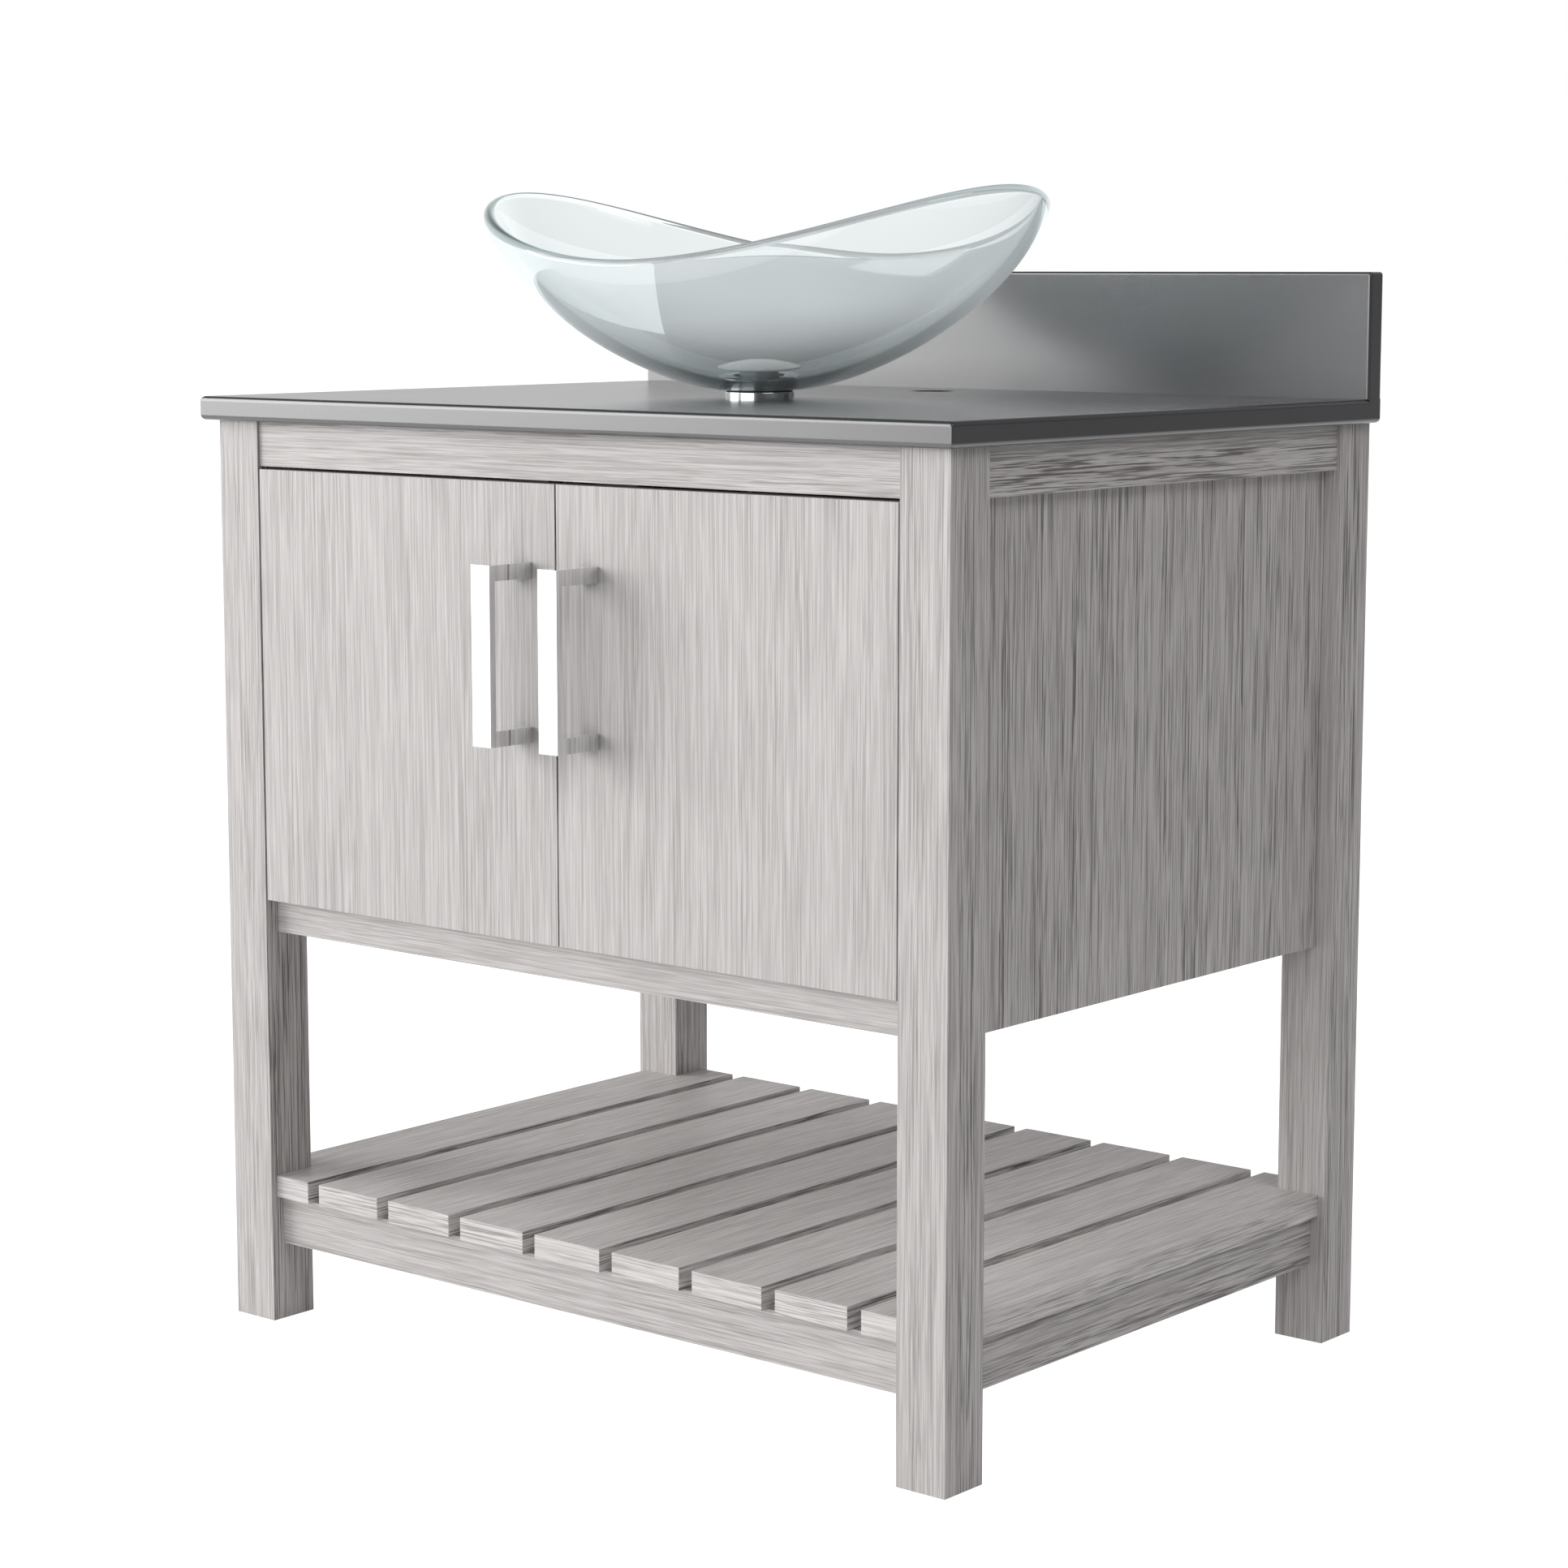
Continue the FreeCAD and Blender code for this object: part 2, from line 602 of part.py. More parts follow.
def bowl_directions(reach, turn):
    """The outward normal of the middle surface and the direction up the wall."""
    step = 1e-4
    up_wall = bowl_mid(reach, turn) - bowl_mid(max(reach - step, 0), turn)
    if reach == 0:
        up_wall = Vec(math.cos(turn), math.sin(turn), 0)
    around = bowl_mid(reach, turn + step) - bowl_mid(reach, turn - step)
    outward = up_wall.cross(around)
    up_wall.normalize()
    outward.normalize()
    if outward.z > 0:
        outward = outward * -1
    return outward, up_wall


def bowl_loop(reach, lean):
    """A closed curve round the bowl; lean 0 is outside, pi is inside, half-way is the rim's top."""
    half = GLASS / 2
    points = []
    for index in range(BOWL_LOOP_POINTS):
        turn = 2 * math.pi * index / BOWL_LOOP_POINTS
        outward, up_wall = bowl_directions(reach, turn)
        offset = outward * (half * math.cos(lean)) + up_wall * (half * math.sin(lean))
        points.append(bowl_mid(reach, turn) + offset)
    curve = Part.BSplineCurve()
    curve.interpolate(Points=points, PeriodicFlag=True)
    return Part.Wire([curve.toShape()])


def vessel_bowl():
    """The glass basin with its drain hole."""
    levels = [math.sin(math.pi / 2 * index / BOWL_LEVELS) for index in range(BOWL_LEVELS + 1)]
    outside = [bowl_loop(reach, 0) for reach in levels]
    rim = [bowl_loop(1, math.pi * quarter / 4) for quarter in range(5)]
    inside = [bowl_loop(reach, math.pi) for reach in reversed(levels)]
    faces = []
    for loops in (outside, rim, inside):
        faces += Part.makeLoft(loops, False, False).Faces
    for loop in (outside[0], inside[-1]):
        faces.append(Part.Face(loop))
    shell = Part.makeShell(faces)
    shell.sewShape()
    solid = Part.makeSolid(Part.Shell(shell.Faces))
    if solid.Volume < 0:
        solid.reverse()
    return solid.cut(disc(DRAIN_HOLE_R, 0, DRAIN_Y, BOWL_BASE_Z - 1, BASIN_FLOOR_Z + 1))


# ---- drain ---------------------------------------------------------------------
def mounting_ring():
    """The chrome collar that carries the basin, its outer corners eased."""
    ring = disc(RING_R, 0, DRAIN_Y, TOP_Z, TOP_Z + RING_HEIGHT)
    ring = ring.makeFillet(0.8, edges_where(ring, lambda point: point.z > TOP_Z + 1))
    return ring.cut(disc(RING_BORE_R, 0, DRAIN_Y, TOP_Z - 1, TOP_Z + RING_HEIGHT + 1))


def drain_body():
    """The dished flange with its threaded tube down through basin and slab."""
    flange = disc(FLANGE_R, 0, DRAIN_Y, BASIN_FLOOR_Z, FLANGE_Z)
    top_edge = edges_where(flange, lambda point: abs(point.z - FLANGE_Z) < FLANGE_THICK / 4)
    flange = flange.makeChamfer(FLANGE_THICK / 2, top_edge)
    shoulder = disc(SHOULDER_R, 0, DRAIN_Y, BASIN_FLOOR_Z - SHOULDER_DEPTH, BASIN_FLOOR_Z)
    thread = disc(DRAIN_THREAD_R, 0, DRAIN_Y, DRAIN_LOW_Z, BASIN_FLOOR_Z)
    body = flange.fuse(shoulder).fuse(thread)
    dish = Part.makeCone(DRAIN_BORE_R, DISH_R, DISH_DEPTH, Vec(0, DRAIN_Y, FLANGE_Z - DISH_DEPTH))
    bore = disc(DRAIN_BORE_R, 0, DRAIN_Y, DRAIN_LOW_Z, FLANGE_Z - DISH_DEPTH / 2)
    socket = disc(TAIL_THREAD_R, 0, DRAIN_Y, DRAIN_LOW_Z, DRAIN_LOW_Z + TAIL_SOCKET)
    return cut_all(body, [dish, bore, socket])


def tailpiece():
    """The thin outlet tube, its thicker threaded end screwed into the drain's socket."""
    outside = disc(TAIL_R, 0, DRAIN_Y, TAIL_BOTTOM_Z, DRAIN_LOW_Z)
    thread = disc(TAIL_THREAD_R, 0, DRAIN_Y, DRAIN_LOW_Z, DRAIN_LOW_Z + TAIL_SOCKET)
    inside = disc(TAIL_R - TAIL_WALL, 0, DRAIN_Y, TAIL_BOTTOM_Z, DRAIN_LOW_Z + TAIL_SOCKET)
    return outside.fuse(thread).cut(inside)


def drain_cartridge():
    """The spoked guide inside the drain that the pop-up stem slides in."""
    low = CARTRIDGE_TOP_Z - CARTRIDGE_HEIGHT
    rim = tube(DRAIN_BORE_R, DRAIN_BORE_R - CARTRIDGE_RIM, 0, DRAIN_Y, low, CARTRIDGE_TOP_Z)
    shape = rim.fuse(disc(CARTRIDGE_HUB_R, 0, DRAIN_Y, low, CARTRIDGE_TOP_Z))
    reach = DRAIN_BORE_R - CARTRIDGE_RIM / 2
    for number in range(3):
        spoke = block(0, reach, -SPOKE_WIDTH / 2, SPOKE_WIDTH / 2, low, CARTRIDGE_TOP_Z)
        spoke.rotate(Vec(0, 0, 0), Z_UP, 120 * number + 90)
        shape = shape.fuse(moved(spoke, 0, DRAIN_Y, 0))
    return shape.cut(disc(STEM_R + STEM_CLEARANCE, 0, DRAIN_Y, low - 1, CARTRIDGE_TOP_Z + 1))


def popup_cap():
    """The domed cap with its skirt and stem, in its raised, open place."""
    edge_z = CAP_UNDER_Z + CAP_EDGE
    dome_r = (CAP_R ** 2 + CAP_RISE ** 2) / (2 * CAP_RISE)
    ball = Part.makeSphere(dome_r, Vec(0, DRAIN_Y, edge_z + CAP_RISE - dome_r))
    dome = ball.common(disc(CAP_R, 0, DRAIN_Y, edge_z, edge_z + CAP_RISE + 1))
    plate = disc(CAP_R, 0, DRAIN_Y, CAP_UNDER_Z, edge_z)
    plate = plate.makeFillet(CAP_EDGE / 2, edges_where(plate, lambda point: point.z < edge_z - 1))
    skirt = disc(SKIRT_R, 0, DRAIN_Y, CAP_UNDER_Z - SKIRT_LENGTH, CAP_UNDER_Z)
    groove_z = CAP_UNDER_Z - SEAL_DROP
    groove = Part.makeTorus(SKIRT_R - SEAL_WIRE_R / 2, SEAL_WIRE_R, Vec(0, DRAIN_Y, groove_z))
    stem_low = CAP_UNDER_Z - STEM_LENGTH
    stem = disc(STEM_R, 0, DRAIN_Y, stem_low, CAP_UNDER_Z)
    return dome.fuse(plate).fuse(skirt).fuse(stem).cut(groove)


def popup_seal():
    """The rubber ring in the skirt's groove."""
    return Part.makeTorus(SKIRT_R - SEAL_WIRE_R / 2, SEAL_WIRE_R,
                          Vec(0, DRAIN_Y, CAP_UNDER_Z - SEAL_DROP))


def drain_locknut():
    """The hexagonal nut that clamps basin, ring and slab together."""
    high = UNDER_TOP_Z - WASHER_THICK
    corner_r = NUT_FLATS / math.sqrt(3)
    corners = []
    for number in range(7):
        angle = math.radians(60 * number)
        corners.append(Vec(corner_r * math.cos(angle), DRAIN_Y + corner_r * math.sin(angle),
                           high - NUT_HEIGHT))
    hexagon = Part.Face(Part.makePolygon(corners)).extrude(Vec(0, 0, NUT_HEIGHT))
    return hexagon.cut(disc(DRAIN_THREAD_R, 0, DRAIN_Y, high - NUT_HEIGHT, high))


# ---- assembly ------------------------------------------------------------------
def build_frame(shapes):
    """Timber frame, drilled and grooved, with its dowels."""
    parts = frame_parts()
    dowels = all_dowels(parts)
    panels = [parts["side_panel_left"], parts["side_panel_right"]]
    for name, shape in parts.items():
        near = [dowel for dowel in dowels if dowel.BoundBox.intersect(shape.BoundBox)]
        if name.startswith("leg_"):
            near += panels
        shapes[name] = cut_all(shape, near)
    shapes["rail_dowels"] = Part.makeCompound(dowels)


def build_shelf(shapes):
    """Nine separate slats."""
    legs = [leg(side, rear) for side in (-1, 1) for rear in (False, True)]
    for number in range(1, SLAT_COUNT + 1):
        shapes["shelf_slat_%d" % number] = slat(number, legs)


def build_top_fixings(shapes, frame_screws):
    """Corner blocks with the screws that hold the slab down and those in the side rails."""
    blocks = []
    top_screws = []
    for side in (-1, 1):
        for rear in (False, True):
            prism, top_screw, side_screw = corner_block(side, rear)
            blocks.append(prism)
            top_screws.append(top_screw)
            frame_screws.append(side_screw)
    shapes["corner_blocks"] = Part.makeCompound(blocks)
    shapes["countertop"] = cut_all(countertop(), top_screws)
    frame_screws += top_screws
    shapes["backsplash"] = backsplash()


def build_hinges(shapes, frame_screws):
    """Cases, links and screws of both doors, and the recesses that they need."""
    frame_cases = []
    for side, word in ((-1, "left"), (1, "right")):
        place = (lambda shape: shape) if side < 0 else mirrored
        leg_name = "leg_front_" + word
        door_cases = []
        for z in HINGE_Z:
            frame_cases.append(place(finished_case(-1, z)))
            door_cases.append(place(finished_case(1, z)))
            leg_tools = [hinge_case(-1, z)] + case_screws(-1, z)
            door_tools = [hinge_case(1, z)] + case_screws(1, z)
            shapes[leg_name] = cut_all(shapes[leg_name], [place(tool) for tool in leg_tools])
            shapes["door_" + word] = cut_all(shapes["door_" + word],
                                             [place(tool) for tool in door_tools])
            frame_screws += [place(screw) for screw in case_screws(-1, z)]
        door_screws = [place(screw) for z in HINGE_Z for screw in case_screws(1, z)]
        shapes["hinge_door_cases_" + word] = Part.makeCompound(door_cases)
        shapes["hinge_door_screws_" + word] = Part.makeCompound(door_screws)
        shapes["hinge_frame_links_" + word] = Part.makeCompound([place(frame_link(z)) for z in HINGE_Z])
        shapes["hinge_door_links_" + word] = Part.makeCompound([place(door_link(z)) for z in HINGE_Z])
    shapes["hinge_frame_cases"] = Part.makeCompound(frame_cases)


def build_doors(shapes, frame_screws):
    """Both doors with handles, screws, strike plates and catches."""
    catches = []
    for side, word in ((-1, "left"), (1, "right")):
        screws = handle_screws(side)
        shapes["door_" + word] = cut_all(door_blank(side), screws)
        shapes["handle_" + word] = cut_all(handle(side), screws)
        shapes["handle_screws_" + word] = Part.makeCompound(screws)
        shapes["strike_plate_" + word] = strike_plate(side)
        held = catch_screws(side)
        catches.append(cut_all(magnetic_catch(side), held))
        shapes["top_rail_front"] = cut_all(shapes["top_rail_front"], held)
        frame_screws += held
    shapes["magnetic_catches"] = Part.makeCompound(catches)


def build_basin(shapes):
    """Glass bowl, its collar and the whole drain."""
    shapes["vessel_bowl"] = vessel_bowl()
    shapes["bowl_gasket"] = tube(GASKET_R, RING_BORE_R, 0, DRAIN_Y, TOP_Z + RING_HEIGHT, BOWL_BASE_Z)
    shapes["mounting_ring"] = mounting_ring()
    shapes["drain_body"] = drain_body()
    shapes["drain_cartridge"] = drain_cartridge()
    shapes["popup_cap"] = popup_cap()
    shapes["popup_seal"] = popup_seal()
    shapes["drain_washer"] = tube(WASHER_R, DRAIN_THREAD_R, 0, DRAIN_Y,
                                  UNDER_TOP_Z - WASHER_THICK, UNDER_TOP_Z)
    shapes["drain_locknut"] = drain_locknut()
    shapes["tailpiece"] = tailpiece()


def build():
    """Every node of the object by name."""
    shapes = {}
    frame_screws = []
    build_frame(shapes)
    build_shelf(shapes)
    build_doors(shapes, frame_screws)
    build_hinges(shapes, frame_screws)
    build_top_fixings(shapes, frame_screws)
    for word in ("left", "right"):
        near = [screw for screw in frame_screws
                if screw.BoundBox.intersect(shapes["top_rail_" + word].BoundBox)]
        shapes["top_rail_" + word] = cut_all(shapes["top_rail_" + word], near)
    shapes["frame_screws"] = Part.makeCompound(frame_screws)
    build_basin(shapes)
    return shapes


def main():
    """Write one STEP file for each node."""
    os.makedirs("parts", exist_ok=True)
    shapes = build()
    for name, shape in shapes.items():
        shape.exportStep("parts/%s.step" % name)
    print(len(shapes), "nodes")


main()
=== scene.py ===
import math

import bmesh
import bpy
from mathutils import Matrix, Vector


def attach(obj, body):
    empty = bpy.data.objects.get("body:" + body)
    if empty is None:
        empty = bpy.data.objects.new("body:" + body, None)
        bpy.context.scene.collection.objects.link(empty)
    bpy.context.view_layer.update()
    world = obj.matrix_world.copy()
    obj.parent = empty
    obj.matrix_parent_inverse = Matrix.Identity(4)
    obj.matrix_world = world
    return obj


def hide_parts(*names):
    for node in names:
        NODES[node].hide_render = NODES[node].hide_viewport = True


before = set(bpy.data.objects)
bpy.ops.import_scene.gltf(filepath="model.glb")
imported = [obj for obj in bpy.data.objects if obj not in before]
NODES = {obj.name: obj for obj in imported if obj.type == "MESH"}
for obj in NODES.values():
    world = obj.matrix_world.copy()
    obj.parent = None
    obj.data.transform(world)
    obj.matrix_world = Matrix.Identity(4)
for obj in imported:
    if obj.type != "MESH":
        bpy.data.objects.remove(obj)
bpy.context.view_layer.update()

MM = 0.001

# ---- camera --------------------------------------------------------------------
CAMERA_PLACE = (1.9004, -2.2500, 0.86395)
CAMERA_TURN = math.radians(39.98)
CAMERA_DIP = math.radians(7.987)
CAMERA_LENS = 84.84
CAMERA_SENSOR = 36.0

# ---- light ---------------------------------------------------------------------
KEY_AZIMUTH = math.radians(55.0)
KEY_DISTANCE = 10.0
KEY_SIZE = 7.5
KEY_Z = 3.75
KEY_RADIANCE = 4.5
FILL_AZIMUTH = math.radians(-80.0)
FILL_DISTANCE = 4.0
FILL_SIZE = 2.5
FILL_Z = 4.0
FILL_RADIANCE = 2.6
FRONT_AZIMUTH = math.radians(2.0)
FRONT_DISTANCE = 7.0
FRONT_WIDTH = 6.0
FRONT_HEIGHT = 3.2
FRONT_Z = 1.6
FRONT_RADIANCE = 2.4
AMBIENT = 0.26
BACKDROP = 1.0
SHADE = 0.1
WORLD_SHADE_REACH = 0.6
FLOOR_SHADE_REACH = 3.0
SKY_LOW = 0.30
SKY_HIGH = 0.60
SKY_SHADE = 0.15
FLOOR_GLOW = 1.0
FLOOR_BOUNCE = 0.06
FLOOR_SIZE = 60.0
AIM_Z = 0.45

# ---- basin, the same surface as the CAD solid ------------------------------------
DRAIN = Vector((0.0, -13.5, 0.0)) * MM
GLASS = 9.5 * MM
BOWL_FLAT_R = 34.0 * MM
BOWL_HALF_LENGTH = 248.6 * MM
BOWL_HALF_WIDTH = 164.0 * MM
BOWL_BASE_Z = 767.0 * MM
BOWL_SIDE_Z = 863.8 * MM
BOWL_END_Z = 919.1 * MM
BOWL_RIM_POWER = 1.9
BOWL_END_ARC = 1.249
BOWL_SIDE_ARC = 1.538
BOWL_SLOPE_SHARE = 0.411
BOWL_SLOPE_POWER = 1.25
BOWL_HOLE_R = 22.5 * MM
BOWL_AROUND = 256
BOWL_UP = 56
RIM_STEPS = 12
SLOPE_STEP = 1e-4
EDGE_ANGLE = math.radians(60.0)
EDGE_BEVEL = 0.5 * MM

# ---- timber and handles ------------------------------------------------------------
ARRIS_ANGLE = math.radians(50.0)
ARRIS_STEPS = 2
TIMBER_ARRIS = 0.6 * MM
HANDLE_ARRIS = 0.35 * MM

# ---- colours and grain -------------------------------------------------------------
WHITE = (1.0, 1.0, 1.0, 1.0)
WOOD_LIGHT = (0.640, 0.615, 0.606)
WOOD_MID = (0.490, 0.464, 0.456)
WOOD_DARK = (0.120, 0.107, 0.103)
BROAD_GRAIN = 70.0
BAND_GRAIN = 400.0
FINE_GRAIN = 1100.0
DASH_GRAIN = 820.0
FINE_SHARE = 0.65
BIRCH_DARK = (0.50, 0.36, 0.22)
BIRCH_LIGHT = (0.66, 0.51, 0.35)
BIRCH_GRAIN = (300.0, 30.0, 300.0)
STONE_DARK = (0.019, 0.0185, 0.021)
STONE_LIGHT = (0.023, 0.0225, 0.026)
STONE_FLECK = (0.06, 0.06, 0.066)
STONE_CLOUDS = 5.0
STONE_FLECKS = 900.0
STONE_IOR = 2.05
FLOOR_DARK = (0.49, 0.49, 0.49)
FLOOR_LIGHT = (0.51, 0.51, 0.51)
GLASS_TINT = (0.900, 0.896, 0.894, 1.0)
GLASS_IOR = 1.48
GLASS_SHADOW = (0.90, 0.925, 0.93, 1.0)
GLASS_BODY = (0.48, 0.64, 0.66, 1.0)
GLASS_DENSITY = 30.0
# painted glow of the glass skins: an emission colour and strength standing in for the light the glass
# scatters and reflects
GLASS_GLOW_COLOUR = (0.962, 0.992, 1.0, 1.0)
GLASS_GLOW_STRENGTH = 1.34
GLASS_GLOW_WALL = 0.13
GLASS_GLOW_LEVEL = 0.03
GLASS_GLOW_LOWEST = 0.25
GLASS_CLEAR_Z = 770.0 * MM
GLASS_FULL_GLOW_Z = 806.0 * MM


# ---- node helpers --------------------------------------------------------------
def new_material(name):
    """A material with its Principled shader."""
    material = bpy.data.materials.new(name)
    material.use_nodes = True
    return material, material.node_tree, material.node_tree.nodes["Principled BSDF"]


def add(tree, kind, **settings):
    """A node with some of its properties set."""
    node = tree.nodes.new(kind)
    for key, value in settings.items():
        setattr(node, key, value)
    return node


def math_node(tree, operation, first, second):
    """A Math node; each input is a socket or a number."""
    node = add(tree, "ShaderNodeMath", operation=operation)
    for socket, value in zip(node.inputs, (first, second)):
        if isinstance(value, bpy.types.NodeSocket):
            tree.links.new(value, socket)
        else:
            socket.default_value = value
    return node.outputs[0]


def mix_colour(tree, factor, low, high):
    """A colour between low and high; each may be a socket or a colour."""
    node = add(tree, "ShaderNodeMix", data_type="RGBA")
    tree.links.new(factor, node.inputs[0])
    for socket, value in ((node.inputs[6], low), (node.inputs[7], high)):
        if isinstance(value, bpy.types.NodeSocket):
            tree.links.new(value, socket)
        else:
            socket.default_value = (*value, 1.0)
    return node.outputs[2]


def remap(tree, value, low, high, to_low=0.0, to_high=1.0):
    """A smooth change from to_low to to_high while value goes from low to high."""
    node = add(tree, "ShaderNodeMapRange", interpolation_type="SMOOTHSTEP")
    tree.links.new(value, node.inputs["Value"])
    node.inputs["From Min"].default_value = low
    node.inputs["From Max"].default_value = high
    node.inputs["To Min"].default_value = to_low
    node.inputs["To Max"].default_value = to_high
    return node.outputs["Result"]


def object_point(tree):
    """The point in the object's own space, shifted by its index so that no two boards match."""
    place = add(tree, "ShaderNodeTexCoord").outputs["Object"]
    index = add(tree, "ShaderNodeObjectInfo").outputs["Object Index"]
    shift = add(tree, "ShaderNodeCombineXYZ")
    for number, socket in enumerate(shift.inputs):
        tree.links.new(math_node(tree, "MULTIPLY", index, 0.731 + 0.377 * number), socket)
    total = add(tree, "ShaderNodeVectorMath", operation="ADD")
    tree.links.new(place, total.inputs[0])
    tree.links.new(shift.outputs[0], total.inputs[1])
    return total.outputs[0]


def stretched_noise(tree, point, scale, detail=2.0, roughness=0.5):
    """Noise with its own scale along each axis."""
    mapping = add(tree, "ShaderNodeMapping")
    mapping.inputs["Scale"].default_value = scale
    tree.links.new(point, mapping.inputs["Vector"])
    noise = add(tree, "ShaderNodeTexNoise")
    noise.inputs["Scale"].default_value = 1.0
    noise.inputs["Detail"].default_value = detail
    noise.inputs["Roughness"].default_value = roughness
    tree.links.new(mapping.outputs[0], noise.inputs["Vector"])
    return noise.outputs["Fac"]


def even_noise(tree, point, scale, detail=2.0, roughness=0.5):
    """Noise with one scale in every direction."""
    return stretched_noise(tree, point, (scale, scale, scale), detail, roughness)


def add_bump(tree, shader, height, strength, distance):
    """Bump from a height."""
    bump = add(tree, "ShaderNodeBump")
    bump.inputs["Strength"].default_value = strength
    bump.inputs["Distance"].default_value = distance
    tree.links.new(height, bump.inputs["Height"])
    tree.links.new(bump.outputs[0], shader.inputs["Normal"])


# ---- materials -----------------------------------------------------------------
def face_tilt(tree, axis):
    """1 on faces that look along one axis of the object, down to 0 on faces that lie along it."""
    parts = add(tree, "ShaderNodeSeparateXYZ")
    tree.links.new(add(tree, "ShaderNodeTexCoord").outputs["Normal"], parts.inputs[0])
    return math_node(tree, "ABSOLUTE", parts.outputs[axis], 0.0)


def face_share(tree, axis):
    """1 on faces that look along one axis of the object, 0 on the others."""
    return math_node(tree, "GREATER_THAN", face_tilt(tree, axis), 0.7)


def grain_point(tree, axis, stretch):
    """The object's point squeezed along the grain; end faces get their streaks along X."""
    squeeze = add(tree, "ShaderNodeMix", data_type="VECTOR")
    tree.links.new(face_share(tree, axis), squeeze.inputs[0])
    for socket, direction in ((squeeze.inputs[4], axis), (squeeze.inputs[5], 0)):
        socket.default_value = tuple(stretch if part == direction else 1.0 for part in range(3))
    product = add(tree, "ShaderNodeVectorMath", operation="MULTIPLY")
    tree.links.new(object_point(tree), product.inputs[0])
    tree.links.new(squeeze.outputs[1], product.inputs[1])
    return product.outputs[0]


def wood(name, axis, stretch, boldness, painted_light_gain=1.0):
    """Light grey laminate, streaked along one axis; the dark streaks are boldest on its +X and -X faces
    as painted shade, and faint on top.
    """
    material, tree, shader = new_material(name)
    point = grain_point(tree, axis, stretch)
    broad = even_noise(tree, point, BROAD_GRAIN)
    band = even_noise(tree, point, BAND_GRAIN)
    fine = even_noise(tree, point, FINE_GRAIN, roughness=0.7)
    dash = even_noise(tree, point, DASH_GRAIN, roughness=0.7)
    tone = math_node(tree, "ADD", math_node(tree, "MULTIPLY", band, 1 - FINE_SHARE),
                     math_node(tree, "MULTIPLY", fine, FINE_SHARE))
    # painted light: the gain lightens both colours; the slats use it to stand in for light their tops
    # lack
    low, high = (tuple(painted_light_gain * part for part in end) for end in (WOOD_MID, WOOD_LIGHT))
    colour = mix_colour(tree, remap(tree, tone, 0.40, 0.58), low, high)
    # painted shade: the dark streaks are full strength on the +X and -X faces, where the side in shade
    # looks streakier, and weaker (boldness) on the lit faces
    side_shade_streaks = remap(tree, face_share(tree, 0), 0.0, 1.0, boldness, 1.0)
    on_tops = remap(tree, face_share(tree, 2), 0.0, 1.0, 1.0, 0.5)
    face_shade_weight = math_node(tree, "MULTIPLY", side_shade_streaks, on_tops)
    patch = remap(tree, broad, 0.38, 0.62, 0.40, 0.92)
    strength = math_node(tree, "MULTIPLY", patch, face_shade_weight)
    streak = math_node(tree, "MULTIPLY", remap(tree, dash, 0.485, 0.585), strength)
    colour = mix_colour(tree, streak, colour, WOOD_DARK)
    tree.links.new(colour, shader.inputs["Base Color"])
    tree.links.new(remap(tree, tone, 0.3, 0.7, 0.55, 0.42), shader.inputs["Roughness"])
    add_bump(tree, shader, math_node(tree, "SUBTRACT", tone, streak), 0.25, 0.0004)
    return material


def plain_wood():
    """Unfinished birch of dowels and corner blocks."""
    material, tree, shader = new_material("birch")
    point = object_point(tree)
    ring = stretched_noise(tree, point, BIRCH_GRAIN, 3.0)
    colour = mix_colour(tree, remap(tree, ring, 0.3, 0.7), BIRCH_DARK, BIRCH_LIGHT)
    tree.links.new(colour, shader.inputs["Base Color"])
    tree.links.new(remap(tree, ring, 0.3, 0.7, 0.55, 0.7), shader.inputs["Roughness"])
    add_bump(tree, shader, ring, 0.2, 0.0004)
    return material


def stone():
    """Satin charcoal quartz with faint fine flecks."""
    material, tree, shader = new_material("charcoal_quartz")
    point = object_point(tree)
    cloud = even_noise(tree, point, STONE_CLOUDS, 3.0)
    fleck = even_noise(tree, point, STONE_FLECKS, 1.0)
    base = mix_colour(tree, remap(tree, cloud, 0.35, 0.65), STONE_DARK, STONE_LIGHT)
    colour = mix_colour(tree, remap(tree, fleck, 0.66, 0.80, 0.0, 0.12), base, STONE_FLECK)
    tree.links.new(colour, shader.inputs["Base Color"])
    tree.links.new(remap(tree, cloud, 0.3, 0.7, 0.245, 0.255), shader.inputs["Roughness"])
    shader.inputs["IOR"].default_value = STONE_IOR
    return material


def painted_glow_share(tree):
    """How much painted glow each skin of the glass has: less on level skins and near the bottom."""
    wall = remap(tree, face_tilt(tree, 2), 0.72, 0.95, GLASS_GLOW_WALL, GLASS_GLOW_LEVEL)
    place = add(tree, "ShaderNodeSeparateXYZ")
    tree.links.new(add(tree, "ShaderNodeTexCoord").outputs["Object"], place.inputs[0])
    height = remap(tree, place.outputs[2], GLASS_CLEAR_Z, GLASS_FULL_GLOW_Z, GLASS_GLOW_LOWEST, 1.0)
    share = math_node(tree, "MULTIPLY", wall, height)
    # the painted glow's strength varies a little at random
    haze = remap(tree, even_noise(tree, object_point(tree), 9.0), 0.3, 0.7, 0.95, 1.05)
    return math_node(tree, "MULTIPLY", share, haze)


def mix_shader(tree, factor, first, second):
    """The first shader where factor is 0, the second where it is 1."""
    node = add(tree, "ShaderNodeMixShader")
    for socket, source in zip(node.inputs, (factor, first, second)):
        tree.links.new(source, socket)
    return node.outputs[0]


